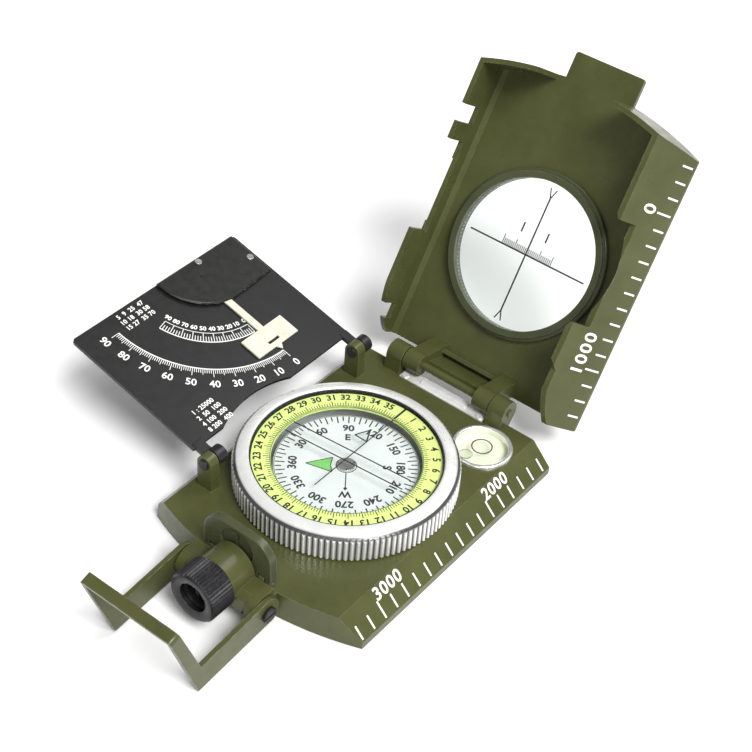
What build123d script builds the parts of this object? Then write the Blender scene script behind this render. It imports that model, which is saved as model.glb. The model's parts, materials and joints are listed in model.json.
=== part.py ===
"""Folding military-style sighting compass, as an assembly of separate pieces.

Millimetres.  The origin is on the bezel axis, in the plane the base rests on.
+Y is the sighting direction (lid hinge at the back edge), +X the map-scale side,
-X the clinometer side and +Z up.  The lid, the clinometer panel and the thumb
loop are each drawn closed or flat and then turned to their opened rest pose.
"""
from build123d import *
import math
import os

# --- Driving dimensions -------------------------------------------------------
# Base casting
TOP_HALF = 25.3          # half width of the flat top
SCALE_EDGE_X = 30.7      # outer edge of the map-scale bevel
LEFT_FOOT_X = 28.6       # outer edge on the clinometer side
TOP_Z = 7.6              # flat top above the table
SCALE_EDGE_Z = 2.0       # height of the bevel's square outer edge
BACK_Y = 39.5
FRONT_Y = -37.4          # front wall at the middle
FRONT_R = 82.0           # plan radius of the front wall
COVER_T = 1.2            # bottom plate

# Capsule and bezel, all round the origin axis
BORE_R = 22.0
COLLAR_R = 23.0
COLLAR_Z = 12.4
CUP_R = 21.8
DIAL_R = 21.8
DIAL_IN_R = 17.3
DIAL_Z = 13.8            # top of the degree ring
GLASS_R = 17.9
CARD_R = 16.7
CARD_Z = 11.0
CARD_T = 0.4
BEZEL_R = 26.1
BEZEL_Z = 14.4           # outer edge of the bezel's top
BEZEL_LIP_Z = 15.2       # the top rises to this at its inner lip
BEZEL_EYE_R = 22.2       # sight opening in the bezel's top
BEZEL_GLASS_R = 22.7
BEZEL_TEETH = 120
RUNNING = 0.05           # radial clearance of a turning fit

# Bubble level
LEVEL_X = 17.7
LEVEL_Y = 28.9
LEVEL_R = 7.3

# Lid, drawn closed
LID_HINGE_Y = 39.9
LID_HINGE_Z = 11.0
LID_OPEN = 122.5         # opened angle at rest
LID_TOP_Z = 21.5
LID_T = 1.3
LID_CREST_Z = 8.0        # free edge of the side walls
LID_BACK_Y = 38.3
WALL_T = 1.2
RIGHT_CREST_X = 23.9     # the scale-side wall flares from here to the scale edge
WINDOW_X = 1.0
WINDOW_Y = 5.5
WINDOW_R = 18.6
FRAME_R = 21.2
SIGHT_GAP = 10.4         # half width of the gap in the front wall for the leaf sight

# Clinometer panel, drawn folded over the bezel with its printed face down
PANEL_X = -21.6          # hinge axis
PANEL_Z = 15.0
PANEL_OPEN = 165.0       # opened angle at rest
PANEL_NEAR = 5.0         # distances from the hinge axis
PANEL_FAR = 44.7
PANEL_FRONT = -21.7
PANEL_BACK = 33.6
PANEL_FACE = 1.6         # printed face above the axis when folded
PANEL_T = 1.0
PANEL_ARC_R = 29.1       # hollow edge that clears the bezel
KNUCKLE_R = 2.1
PANEL_PIN_R = 0.8
SWING_W = 39.5           # pendulum pivot, from the hinge axis
SWING_Y = 16.3
COVER_H = 1.2            # height of the pivot cover above the printed face
COVER_SKIN = 0.35

# Eyepiece, leaf sight and thumb loop at the front
EYE_Z = 9.8
EYE_R = 6.3
EYE_FRONT = -51.3
EYE_BACK = -44.6
BRACKET_FRONT = -44.2
BRACKET_HALF = 11.0
CELL_R = 4.45
LEAF_Y = -36.2
LEAF_Z = 9.0
LEAF_HALF = 9.6
LEAF_TOP = 19.7
LEAF_T = 1.9
LOOP_Y = -41.3
LOOP_Z = 6.1
LOOP_IN = 11.4           # inner faces of the arms
LOOP_T = 1.2
LOOP_STRAP = 2.7           # width of the uprights and the cross strip

# Pins, ears and fasteners
LID_PIN_R = 1.0
LEAF_PIN_R = 0.5
LEAF_LUG_X = 6.2         # inner faces of the leaf sight's lugs
PANEL_EARS = [(-24.0, -21.4), (28.2, 30.9)]
PANEL_KNUCKLES = [(-21.1, -18.3), (31.2, 33.6)]
COVER_SCREWS = [(-22.6, -28.0), (24.0, -28.0), (-22.6, 34.0), (26.0, 34.0)]
BRACKET_SCREWS = (-8.6, 8.6)
SPRING_RIVETS = [(-11.2, 36.9), (11.2, 36.9)]
COVER_RIVETS = [(PANEL_X + 43.2, 19.0), (PANEL_X + 36.5, 30.8)]

LOW = (Align.CENTER, Align.CENTER, Align.MIN)
CORNER = (Align.MIN, Align.MIN, Align.MIN)


# --- Drawing helpers ----------------------------------------------------------
def disc(r, z0, z1, x=0.0, y=0.0):
    """Upright cylinder between two heights."""
    return Pos(x, y, z0) * Cylinder(r, z1 - z0, align=LOW)


def ring(r_out, r_in, z0, z1, x=0.0, y=0.0):
    """Upright tube between two heights."""
    return disc(r_out, z0, z1, x, y) - disc(r_in, z0 - 1, z1 + 1, x, y)


def block(x0, x1, y0, y1, z0, z1):
    """Box given by its two corners."""
    return Pos(x0, y0, z0) * Box(x1 - x0, y1 - y0, z1 - z0, align=CORNER)


def rod_x(r, x0, x1, y, z):
    """Cylinder lying along X."""
    return Pos(x0, y, z) * Rot(0, 90, 0) * Cylinder(r, x1 - x0, align=LOW)


def rod_y(r, y0, y1, x, z):
    """Cylinder lying along Y."""
    return Pos(x, y0, z) * Rot(-90, 0, 0) * Cylinder(r, y1 - y0, align=LOW)


def prism_x(points, x0, x1):
    """Polygon of (y, z) points, extruded along X."""
    face = make_face(Polyline(*points, close=True))
    return extrude(Plane.YZ.offset(x0) * face, amount=x1 - x0)


def prism_y(points, y0, y1):
    """Polygon of (x, z) points, extruded along Y."""
    face = make_face(Polyline(*points, close=True))
    return extrude(Plane.XZ.offset(-y1) * face, amount=y1 - y0)


def front_y(x, inset=0.0):
    """Front wall line in plan at x, moved inwards by inset."""
    r = FRONT_R - inset
    return FRONT_Y + FRONT_R - math.sqrt(r * r - x * x)


def plan(x0, x1, y_back, z0, z1, inset=0.0):
    """Plan outline with the bowed front wall, extruded between two heights."""
    lines = [
        Line((x0, y_back), (x1, y_back)),
        Line((x1, y_back), (x1, front_y(x1, inset))),
        ThreePointArc((x1, front_y(x1, inset)), (0, FRONT_Y + inset), (x0, front_y(x0, inset))),
        Line((x0, front_y(x0, inset)), (x0, y_back)),
    ]
    return Pos(0, 0, z0) * extrude(make_face(lines), amount=z1 - z0)


def toothed(r_out, depth, count, length):
    """Disc with straight knurling round its rim, standing on z = 0."""
    points = []
    for i in range(2 * count):
        r = r_out if i % 2 == 0 else r_out - depth
        angle = math.pi * i / count
        points.append((r * math.cos(angle), r * math.sin(angle)))
    return extrude(make_face(Polyline(*points, close=True)), amount=length)


def chamfered_cone(r_top, r_low, z0, z1):
    """Cone that bevels a rim: r_low at z0 shrinking to r_top at z1."""
    return Pos(0, 0, z0) * Cone(r_low, r_top, z1 - z0, align=LOW)


def compound(solids):
    """Group of separate equal pieces kept in one node."""
    return Compound(children=[s.solid() if hasattr(s, "solid") else s for s in solids])


# --- Base ---------------------------------------------------------------------
def base_body():
    """Die-cast base with the bezel collar, hinge ears and leaf-sight lugs."""
    profile = [
        (-LEFT_FOOT_X, 0), (-LEFT_FOOT_X + 0.8, 4.8), (-TOP_HALF, TOP_Z),
        (TOP_HALF, TOP_Z), (SCALE_EDGE_X, SCALE_EDGE_Z), (SCALE_EDGE_X, 0),
    ]
    body = prism_y(profile, -40, BACK_Y) & plan(-31, 31, BACK_Y, 0, TOP_Z)
    body = body + disc(COLLAR_R, TOP_Z, COLLAR_Z)
    body = body - disc(BORE_R, COVER_T, COLLAR_Z + 1)
    body = body - cover_outline(0.0)
    body = body - disc(LEVEL_R, 3.2, TOP_Z + 1, LEVEL_X, LEVEL_Y)
    for side in (-1, 1):
        ear = rod_x(3.0, 13.0, 17.5, LID_HINGE_Y, LID_HINGE_Z)
        web = [(36.2, TOP_Z - 0.5), (37.2, 12.2), (42.6, 12.2), (42.2, 9.0), (BACK_Y, TOP_Z - 2.2)]
        ear = ear + prism_x(web, 13.0, 17.5)
        body = body + (ear if side > 0 else mirror(ear, about=Plane.YZ))
    body = body - rod_x(LID_PIN_R, -20, 20, LID_HINGE_Y, LID_HINGE_Z)
    for y0, y1 in PANEL_EARS:
        ear = rod_y(KNUCKLE_R, y0, y1, PANEL_X, PANEL_Z)
        post = [
            (PANEL_X - KNUCKLE_R, TOP_Z - 0.5), (PANEL_X - KNUCKLE_R, PANEL_Z),
            (PANEL_X + KNUCKLE_R, PANEL_Z), (PANEL_X + KNUCKLE_R, TOP_Z - 0.5),
        ]
        ear = ear + prism_y(post, y0, y1)
        body = body + (ear - rod_y(PANEL_PIN_R, y0 - 1, y1 + 1, PANEL_X, PANEL_Z))
    for x0 in (-LEAF_LUG_X - 1.6, LEAF_LUG_X):
        lug = rod_x(1.2, x0, x0 + 1.6, LEAF_Y, LEAF_Z) + block(
            x0, x0 + 1.6, LEAF_Y - 0.9, LEAF_Y + 1.2, TOP_Z - 0.5, LEAF_Z)
        body = body + (lug - rod_x(LEAF_PIN_R, x0 - 1, x0 + 3, LEAF_Y, LEAF_Z))
    body = body - ring(COLLAR_R + 1, COLLAR_R - 0.3, 10.0, 10.6)
    for x, y in COVER_SCREWS:
        body = body - disc(0.8, COVER_T - 0.5, 5.2, x, y)
    for x in BRACKET_SCREWS:
        body = body - rod_y(0.9, FRONT_Y - 1, FRONT_Y + 6.0, x, 4.0)
    for x, y in SPRING_RIVETS:
        body = body - disc(0.5, 5.6, TOP_Z + 1, x, y)
    return body


def cover_outline(gap):
    """Recess for the bottom plate, or the plate itself with a gap round it."""
    edge = 2.2 + gap
    return plan(-LEFT_FOOT_X + edge, SCALE_EDGE_X - edge, BACK_Y - edge, 0.0, COVER_T, edge)


def bottom_plate():
    plate = cover_outline(0.1)
    for x, y in COVER_SCREWS:
        plate = plate - disc(1.7, -1, COVER_T + 1, x, y)
    return plate


def bottom_screws():
    screws = []
    for x, y in COVER_SCREWS:
        head = disc(1.6, 0.1, COVER_T, x, y)
        slot = block(x - 1.2, x + 1.2, y - 0.2, y + 0.2, 0.1, 0.45)
        screws.append(head + disc(0.8, COVER_T, 5.0, x, y) - slot)
    return compound(screws)


# --- Capsule, card and bezel --------------------------------------------------
def capsule_cup():
    """Liquid capsule: a thin bowl that stands on the bottom plate."""
    cup = disc(CUP_R, COVER_T, DIAL_Z - 1.4) - disc(CUP_R - 1.2, COVER_T + 1.2, 14)
    return cup - disc(1.0, COVER_T + 0.6, 3, 0, 0)


def pivot_post():
    """Post with a hardened point that carries the card."""
    foot = disc(1.0, COVER_T + 0.6, 2.4) + disc(2.4, 2.4, 3.4)
    shaft = disc(0.45, 3.4, 10.6)
    point = Pos(0, 0, 10.6) * Cone(0.45, 0.05, 0.55, align=LOW)
    return foot + shaft + point


def dial_ring():
    """Luminous degree ring with a rabbet for the capsule glass."""
    return ring(DIAL_R, DIAL_IN_R, DIAL_Z - 1.0, DIAL_Z) - disc(GLASS_R, DIAL_Z - 0.6, DIAL_Z - 0.1)


def capsule_seal():
    """Flat gasket between the cup and the dial ring."""
    return ring(DIAL_R, CUP_R - 1.2, DIAL_Z - 1.4, DIAL_Z - 1.0)


def capsule_glass():
    return disc(GLASS_R, DIAL_Z - 0.6, DIAL_Z - 0.1)


def compass_card():
    return ring(CARD_R, 1.2, CARD_Z, CARD_Z + CARD_T)


def card_hub():
    """Jewel cup that rides on the pivot point."""
    hub = disc(1.2, 9.6, 11.9) + disc(2.1, CARD_Z + CARD_T, 11.9)
    return hub - disc(0.7, 9, 11.25)


def card_magnet():
    """Bar magnet under the card, with a hole for the hub."""
    bar = block(-2.2, 2.2, -10.5, 10.5, 9.6, CARD_Z)
    return bar - disc(1.2, 9, 12)


def bezel_ring():
    """Knurled turning ring whose top rises to a lip over the glass."""
    body = Pos(0, 0, 8.0) * toothed(BEZEL_R, 0.45, BEZEL_TEETH, BEZEL_LIP_Z - 8.0)
    cap = disc(BEZEL_R + 1, 8.0, 13.3) + chamfered_cone(BEZEL_R - 1.0, BEZEL_R, 13.3, BEZEL_Z)
    cap = cap + chamfered_cone(BEZEL_R - 3.2, BEZEL_R - 1.0, BEZEL_Z, BEZEL_LIP_Z)
    body = body & cap
    body = body - disc(COLLAR_R + RUNNING, 7, 13.2) - disc(BEZEL_GLASS_R, 7, BEZEL_LIP_Z - 0.5)
    body = body - disc(BEZEL_EYE_R, 7, 16)
    body = body - Pos(0, 0, BEZEL_LIP_Z - 0.3) * Cone(BEZEL_EYE_R, BEZEL_EYE_R + 0.31, 0.31, align=LOW)
    return body - ring(COLLAR_R + 0.6, COLLAR_R - 1, 9.8, 10.8)


def bezel_glass():
    """Crystal held up against the bezel's lip."""
    return disc(BEZEL_GLASS_R, BEZEL_LIP_Z - 1.1, BEZEL_LIP_Z - 0.5)


def bezel_snap_ring():
    """Open wire ring in the collar's groove that keeps the bezel on."""
    wire = ring(COLLAR_R + 0.35, COLLAR_R - 0.3, 10.0, 10.6)
    return wire - block(-30, -20, -1.5, 1.5, 9, 12)


def bezel_friction_ring():
    """Thin spring washer under the bezel."""
    return ring(25.2, 23.4, TOP_Z, 7.85)


# --- Bubble level -------------------------------------------------------------
def level_cup():
    pot = disc(LEVEL_R, 3.2, 8.4, LEVEL_X, LEVEL_Y)
    pot = pot - disc(LEVEL_R - 1.0, 4.0, 9, LEVEL_X, LEVEL_Y)
    return chamfer(pot.edges().group_by(Axis.Z)[-1], 0.25)


def level_plate():
    """Pale plate behind the vial."""
    return disc(LEVEL_R - 1.0, 4.0, 6.2, LEVEL_X, LEVEL_Y)


def level_vial():
    vial = disc(LEVEL_R - 1.0, 6.2, 8.1, LEVEL_X, LEVEL_Y)
    return fillet(vial.edges().group_by(Axis.Z)[-1], 0.3)


# --- Lid ----------------------------------------------------------------------
def open_lid(shape):
    """Turn a piece drawn on the closed lid to the opened rest pose."""
    return shape.rotate(Axis((0, LID_HINGE_Y, LID_HINGE_Z), (1, 0, 0)), -LID_OPEN)


def wall_relief(side):
    """Space cut from a side wall: the bezel notch and the rising rear end."""
    notch_back, notch_z = (10.5, 14.5) if side < 0 else (13.0, 12.3)
    rear_start, rear_mid, rear_end = (
        ((24.8, LID_CREST_Z), (32.0, 10.6), (LID_BACK_Y, 16.6)) if side < 0 else
        ((22.6, LID_CREST_Z), (31.0, 9.2), (LID_BACK_Y, 12.6)))
    rear = [
        Line((24.0, 0), rear_start),
        ThreePointArc(rear_start, rear_mid, rear_end),
        Line(rear_end, (LID_BACK_Y + 5, rear_end[1])),
        Line((LID_BACK_Y + 5, rear_end[1]), (LID_BACK_Y + 5, 0)),
        Line((LID_BACK_Y + 5, 0), (24.0, 0)),
    ]
    x0, x1 = (-30, -20) if side < 0 else (20, 35)
    cut = extrude(Plane.YZ.offset(x0) * make_face(rear), amount=x1 - x0)
    return cut + block(x0, x1, -12.9, notch_back, 5, notch_z)


def lid_shell():
    """Cover with its window opening, side walls, thumb tab and hinge lugs."""
    inner_z = LID_TOP_Z - LID_T
    slope = (SCALE_EDGE_X - RIGHT_CREST_X) / (19.7 - LID_CREST_Z)
    outer = [
        (-TOP_HALF, LID_CREST_Z), (-TOP_HALF, LID_TOP_Z - 0.8), (-TOP_HALF + 0.8, LID_TOP_Z),
        (SCALE_EDGE_X - 0.3, LID_TOP_Z), (SCALE_EDGE_X, LID_TOP_Z - 0.3),
        (SCALE_EDGE_X, 19.7), (RIGHT_CREST_X, LID_CREST_Z),
    ]
    inner_right = RIGHT_CREST_X - 1.4
    cavity = [
        (-TOP_HALF + WALL_T, 5), (-TOP_HALF + WALL_T, inner_z - 1.0), (-TOP_HALF + WALL_T + 1.0, inner_z),
        (inner_right + slope * (inner_z - LID_CREST_Z), inner_z),
        (inner_right + slope * (5 - LID_CREST_Z), 5),
    ]
    shell = prism_y(outer, -40, LID_BACK_Y) & plan(-31, 31, LID_BACK_Y, 5, 25)
    hollow = prism_y(cavity, -40, LID_BACK_Y + 2) & plan(-31, 31, LID_BACK_Y + 2, 4, inner_z, WALL_T)
    shell = shell - hollow
    shell = shell - wall_relief(-1) - wall_relief(1)
    shell = shell - disc(BEZEL_R + 0.5, 5, BEZEL_Z + 0.8) - disc(LEVEL_R + 0.5, 5, 9.0, LEVEL_X, LEVEL_Y)
    shell = shell - block(-SIGHT_GAP, SIGHT_GAP, -40, -30, 5, inner_z)
    for y0, y1 in PANEL_KNUCKLES:
        shell = shell - block(-30, -20, y0 - 0.8, y1 + 0.8, 5, 15.4)
    tab = block(WINDOW_X - 9.5, WINDOW_X + 9.5, -43.5, -36.0, inner_z, LID_TOP_Z)
    shell = shell + fillet(tab.edges().filter_by(Axis.Z).group_by(Axis.Y)[0], 0.8)
    for side in (-1, 1):
        arm = [
            (37.2, 11.2), (33.8, inner_z + 0.1), (LID_BACK_Y, inner_z + 0.1),
            (39.7, 14.2), (41.8, 12.9), (42.0, 11.0),
        ]
        lug = prism_x(arm, 8.2, 12.7) + rod_x(2.8, 8.2, 12.7, LID_HINGE_Y, LID_HINGE_Z)
        shell = shell + (lug if side > 0 else mirror(lug, about=Plane.YZ))
    shell = shell + block(-8.3, 8.3, 35.2, 36.2, 17.8, inner_z + 0.1)
    web = [(37.0, inner_z + 0.1), (LID_BACK_Y, inner_z + 0.1), (39.8, 13.3), (38.6, 13.1)]
    shell = shell + prism_x(web, -8.3, 8.3)
    shell = shell - rod_x(LID_PIN_R + RUNNING, -20, 20, LID_HINGE_Y, LID_HINGE_Z)
    return open_lid(shell - disc(WINDOW_R + 1.0, 15, 25, WINDOW_X, WINDOW_Y))


def window_frame():
    """Turned ring that holds the sight glass in the lid."""
    inner_z = LID_TOP_Z - LID_T
    flange = ring(FRAME_R, WINDOW_R, 18.8, inner_z, WINDOW_X, WINDOW_Y)
    flange = chamfer(flange.edges().group_by(Axis.Z)[0], 0.3)
    step = ring(FRAME_R - 0.9, WINDOW_R, 18.0, 18.85, WINDOW_X, WINDOW_Y)
    sleeve = ring(WINDOW_R + 1.0, WINDOW_R, inner_z - 0.1, LID_TOP_Z - 0.2, WINDOW_X, WINDOW_Y)
    return open_lid(flange + step + sleeve)


def window_glass():
    return open_lid(disc(WINDOW_R, 19.4, 20.6, WINDOW_X, WINDOW_Y))


def lid_hinge_pin():
    return rod_x(LID_PIN_R, -17.9, 17.9, LID_HINGE_Y, LID_HINGE_Z)


def detent_spring():
    """Leaf spring that holds the lid where it is put."""
    strip = block(-12.4, 12.4, 36.0, 39.3, TOP_Z, 7.95)
    crown = [(36.6, 7.9), (37.4, 8.7), (38.8, 8.7), (39.3, 7.9)]
    strip = strip + prism_x(crown, -6.6, 6.6)
    for x, y in SPRING_RIVETS:
        strip = strip - disc(0.5, 7, 9, x, y)
    return strip


def spring_rivets():
    rivets = []
    for x, y in SPRING_RIVETS:
        rivets.append(disc(0.5, 5.6, 7.95, x, y) + disc(0.9, 7.95, 8.3, x, y))
    return compound(rivets)


# --- Clinometer panel ---------------------------------------------------------
def open_panel(shape):
    """Turn a piece drawn on the folded panel to the opened rest pose."""
    return shape.rotate(Axis((PANEL_X, 0, PANEL_Z), (0, 1, 0)), -PANEL_OPEN)


def panel_z(height):
    """Height, when folded, of a level measured out from the printed face."""
    return PANEL_Z + PANEL_FACE - height


def clinometer_plate():
    """Printed plate with two knuckles and a hollow edge round the bezel."""
    z0 = panel_z(0)
    z1 = panel_z(-PANEL_T)
    plate = block(PANEL_X + PANEL_NEAR, PANEL_X + PANEL_FAR, PANEL_FRONT, PANEL_BACK, z0, z1)
    plate = fillet(plate.edges().filter_by(Axis.Z).group_by(Axis.X)[-1], 1.0)
    # opened flat, this circle is centred on the bezel; folded, it mirrors about the hinge
    plate = plate - disc(PANEL_ARC_R, 0, 30, 2 * PANEL_X, 0)
    for y0, y1 in PANEL_KNUCKLES:
        strap = block(PANEL_X, PANEL_X + PANEL_NEAR + 1.2, y0, y1, z0 - 0.2, z1)
        plate = plate + strap + rod_y(KNUCKLE_R, y0, y1, PANEL_X, PANEL_Z)
        plate = plate - rod_y(PANEL_PIN_R + RUNNING, y0 - 1, y1 + 1, PANEL_X, PANEL_Z)
    return open_panel(plate)


def hub_cover():
    """Pressed cover over the pendulum's pivot, open along its curved edge."""
    x_far = PANEL_X + PANEL_FAR - 0.2
    top = panel_z(COVER_H)
    rim = [
        ThreePointArc((x_far, 5.8), (PANEL_X + 33.9, 9.5), (PANEL_X + 29.9, 18.5)),
        Line((PANEL_X + 29.9, 18.5), (PANEL_X + 30.6, PANEL_BACK - 1.2)),
        Line((PANEL_X + 30.6, PANEL_BACK - 1.2), (x_far, PANEL_BACK - 1.2)),
        Line((x_far, PANEL_BACK - 1.2), (x_far, 5.8)),
    ]
    cover = Pos(0, 0, top) * extrude(make_face(rim), amount=COVER_H)
    room = block(PANEL_X + 20, x_far - 1.0, 0, PANEL_BACK - 2.2, panel_z(COVER_H - COVER_SKIN), panel_z(-0.5))
    cover = chamfer(cover.edges().group_by(Axis.Z)[0], 0.35) - room
    cover = cover - disc(0.6, top - 1, panel_z(0) + 1, PANEL_X + SWING_W, SWING_Y)
    for x, y in COVER_RIVETS:
        cover = cover + disc(1.0, panel_z(COVER_H - COVER_SKIN), panel_z(0), x, y)
        cover = cover - disc(0.5, top - 1, panel_z(0) + 1, x, y)
    return open_panel(cover)


def cover_rivets():
    rivets = []
    for x, y in COVER_RIVETS:
        head = disc(0.9, panel_z(COVER_H) - 0.2, panel_z(COVER_H), x, y)
        rivets.append(open_panel(head + disc(0.5, panel_z(COVER_H), panel_z(0), x, y)))
    return compound(rivets)


def pendulum_pin():
    """Pivot pin through the cover and the pendulum."""
    return open_panel(disc(0.6, panel_z(COVER_H), panel_z(0), PANEL_X + SWING_W, SWING_Y))


def pendulum():
    """Swinging weight: a thin arm, a pierced plate and a pointer."""
    z0 = panel_z(0.7)
    z1 = panel_z(0.25)
    x = PANEL_X + SWING_W
    arm = block(x - 21.0, x, SWING_Y - 0.95, SWING_Y + 0.95, z0, z1)
    weight = block(x - 26.3, x - 20.2, SWING_Y - 7.0, SWING_Y + 7.0, z0, z1)
    tip = make_face(Polyline(
        (x - 26.2, SWING_Y - 1.0), (x - 26.2, SWING_Y + 1.0), (x - 27.6, SWING_Y), close=True))
    body = arm + weight + disc(1.9, z0, z1, x, SWING_Y) + Pos(0, 0, z0) * extrude(tip, amount=z1 - z0)
    crescent = ring(25.0, 24.2, z0 - 1, z1 + 1, x, SWING_Y)
    window = block(x - 30, x - 20, SWING_Y - 1.9, SWING_Y + 1.9, z0 - 1, z1 + 1)
    body = body - (crescent & window)
    return open_panel(body - disc(0.6 + RUNNING, z0 - 1, z1 + 1, x, SWING_Y))


def panel_pins():
    """Two headed pins, one at each end of the panel hinge."""
    pins = []
    for (ear0, ear1), (knuckle0, knuckle1) in zip(PANEL_EARS, PANEL_KNUCKLES):
        shank = rod_y(PANEL_PIN_R, ear0, knuckle1 - 0.3, PANEL_X, PANEL_Z)
        pins.append(shank + rod_y(1.4, ear0 - 0.5, ear0, PANEL_X, PANEL_Z))
    return compound(pins)


# --- Eyepiece and leaf sight --------------------------------------------------
def eyepiece_bracket():
    """Casting screwed to the front wall: eyepiece barrel and loop pivots."""
    wing = [
        (FRONT_Y + 3, 2.4), (-42.0, 2.4), (BRACKET_FRONT + 0.6, 4.2),
        (BRACKET_FRONT + 0.6, 8.2), (-42.0, 9.6), (FRONT_Y + 3, 9.6),
    ]
    body = prism_x(wing, -BRACKET_HALF, BRACKET_HALF)
    for side in (-1, 1):
        boss = rod_x(3.4, BRACKET_HALF - 2.2, BRACKET_HALF, LOOP_Y, LOOP_Z)
        body = body + (boss if side > 0 else mirror(boss, about=Plane.YZ))
    body = body + rod_y(5.6, BRACKET_FRONT, FRONT_Y + 3, 0, EYE_Z)
    body = body - plan(-31, 31, BACK_Y, 0, TOP_Z)
    body = body - block(-20, 20, FRONT_Y - 0.15, 0, TOP_Z, 30)
    body = body - rod_y(CELL_R + RUNNING, BRACKET_FRONT - 1, -38.6, 0, EYE_Z)
    for x in BRACKET_SCREWS:
        body = body - rod_y(0.9, -50, FRONT_Y + 6, x, 4.0) - rod_y(1.5, -50, -42.4, x, 4.0)
    for x0 in (-BRACKET_HALF - 1, BRACKET_HALF - 4.0):
        body = body - rod_x(1.0, x0, x0 + 5.0, LOOP_Y, LOOP_Z)
    return body


def bracket_screws():
    screws = []
    for x in BRACKET_SCREWS:
        head = rod_y(1.4, -43.2, -42.4, x, 4.0) - block(x - 1.0, x + 1.0, -44, -42.9, 3.8, 4.2)
        screws.append(head + rod_y(0.9, -42.4, FRONT_Y + 5.5, x, 4.0))
    return compound(screws)


def eyepiece_ring():
    """Knurled focusing ring."""
    length = EYE_BACK - EYE_FRONT
    body = toothed(EYE_R, 0.3, 48, length)
    body = body & (disc(EYE_R + 1, 0, length - 0.6) + chamfered_cone(EYE_R - 0.6, EYE_R, length - 0.6, length))
    body = body - disc(CELL_R + RUNNING, -1, length - 0.6) - disc(3.6, -1, length + 1)
    body = body - Pos(0, 0, length - 0.45) * Cone(3.6, 5.2, 0.46, align=LOW)
    return Pos(0, EYE_BACK, EYE_Z) * Rot(90, 0, 0) * body


def lens_cell():
    """Sliding tube that carries the eye lens."""
    tube = rod_y(CELL_R, -49.4, -41.4, 0, EYE_Z)
    tube = tube - rod_y(3.5, -50, -46.4, 0, EYE_Z) - rod_y(2.9, -47, -41, 0, EYE_Z)
    return tube


def eye_lens():
    """Magnifying lens with a domed front."""
    body = rod_y(3.5, -48.0, -46.4, 0, EYE_Z)
    dome = Pos(0, -42.0, EYE_Z) * Sphere(6.9)
    front = rod_y(2.95, -49.5, -48.0, 0, EYE_Z) & dome
    return body + front


def lens_retainer():
    """Ring pressed into the cell in front of the lens."""
    return rod_y(3.5, -49.3, -48.0, 0, EYE_Z) - rod_y(3.0, -50, -40, 0, EYE_Z)


def leaf_sight():
    """Upright rear-sight leaf with a sighting slit, rounded at the top."""
    y0 = LEAF_Y - 0.9
    body = block(-LEAF_HALF, LEAF_HALF, y0, y0 + LEAF_T, LEAF_Z, LEAF_TOP)
    body = fillet(body.edges().filter_by(Axis.Y).group_by(Axis.Z)[-1], 5.5)
    body = fillet(body.edges().group_by(Axis.Y)[0], 0.3)
    body = body + rod_x(1.1, -LEAF_HALF, LEAF_HALF, LEAF_Y, LEAF_Z)
    for x0 in (-LEAF_LUG_X - 1.9, LEAF_LUG_X - 0.3):
        body = body - block(x0, x0 + 2.2, LEAF_Y - 3, LEAF_Y + 3, 5, 10.7)
    body = body - block(-0.4, 0.4, y0 - 1, y0 + 3, 12.0, 17.6)
    dish = rod_y(4.6, y0 - 1, y0 + 0.5, 0, 14.6)
    body = body - dish
    return body - rod_x(LEAF_PIN_R + RUNNING, -12, 12, LEAF_Y, LEAF_Z)


def leaf_pin():
    return rod_x(LEAF_PIN_R, -LEAF_LUG_X - 3.2, LEAF_LUG_X + 3.2, LEAF_Y, LEAF_Z)


# --- Thumb loop ---------------------------------------------------------------
def thumb_loop():
    """Bent strap: two arms, two leaning uprights and a cross strip."""
    out = LOOP_IN + LOOP_T
    foot = (-62.5, 0.5)
    lean = Vector(-7.7, 21.7).normalized()
    across = Vector(lean.Y, -lean.X) * LOOP_STRAP
    top = Vector(*foot) + lean * 23.0
    side = [
        (LOOP_Y, LOOP_Z + 3.6), (-61.6, 7.4), (top.X + across.X, top.Y + across.Y),
        (top.X, top.Y), foot, (LOOP_Y, LOOP_Z - 3.6),
    ]
    arm = prism_x(side, LOOP_IN, out) + rod_x(3.6, LOOP_IN, out, LOOP_Y, LOOP_Z)
    arm = arm - rod_x(1.0 + RUNNING, LOOP_IN - 1, out + 1, LOOP_Y, LOOP_Z)
    edge = top - lean * LOOP_T
    strip = [
        (top.X, top.Y), (top.X + across.X, top.Y + across.Y),
        (edge.X + across.X, edge.Y + across.Y), (edge.X, edge.Y),
    ]
    loop = arm + mirror(arm, about=Plane.YZ) + prism_x(strip, -out, out)
    height = (top.Y + across.Y / 2 + edge.Y) / 2
    ends = [e for e in loop.edges() if abs(e.length - LOOP_STRAP) < 0.01 and abs(e.center().Z - height) < 1.5]
    outer = [e for e in ends if abs(abs(e.center().X) - out) < 0.01]
    return fillet(outer, 1.1)


def loop_pivots():
    """Shouldered screws that the loop turns on."""
    out = LOOP_IN + LOOP_T
    screw = rod_x(1.0, BRACKET_HALF - 3.0, out + 0.15, LOOP_Y, LOOP_Z)
    screw = screw + rod_x(1.9, out + 0.15, out + 0.95, LOOP_Y, LOOP_Z)
    screw = screw - block(out + 0.5, out + 2, LOOP_Y - 2, LOOP_Y + 2, LOOP_Z - 0.25, LOOP_Z + 0.25)
    return compound([screw, mirror(screw, about=Plane.YZ)])


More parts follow.
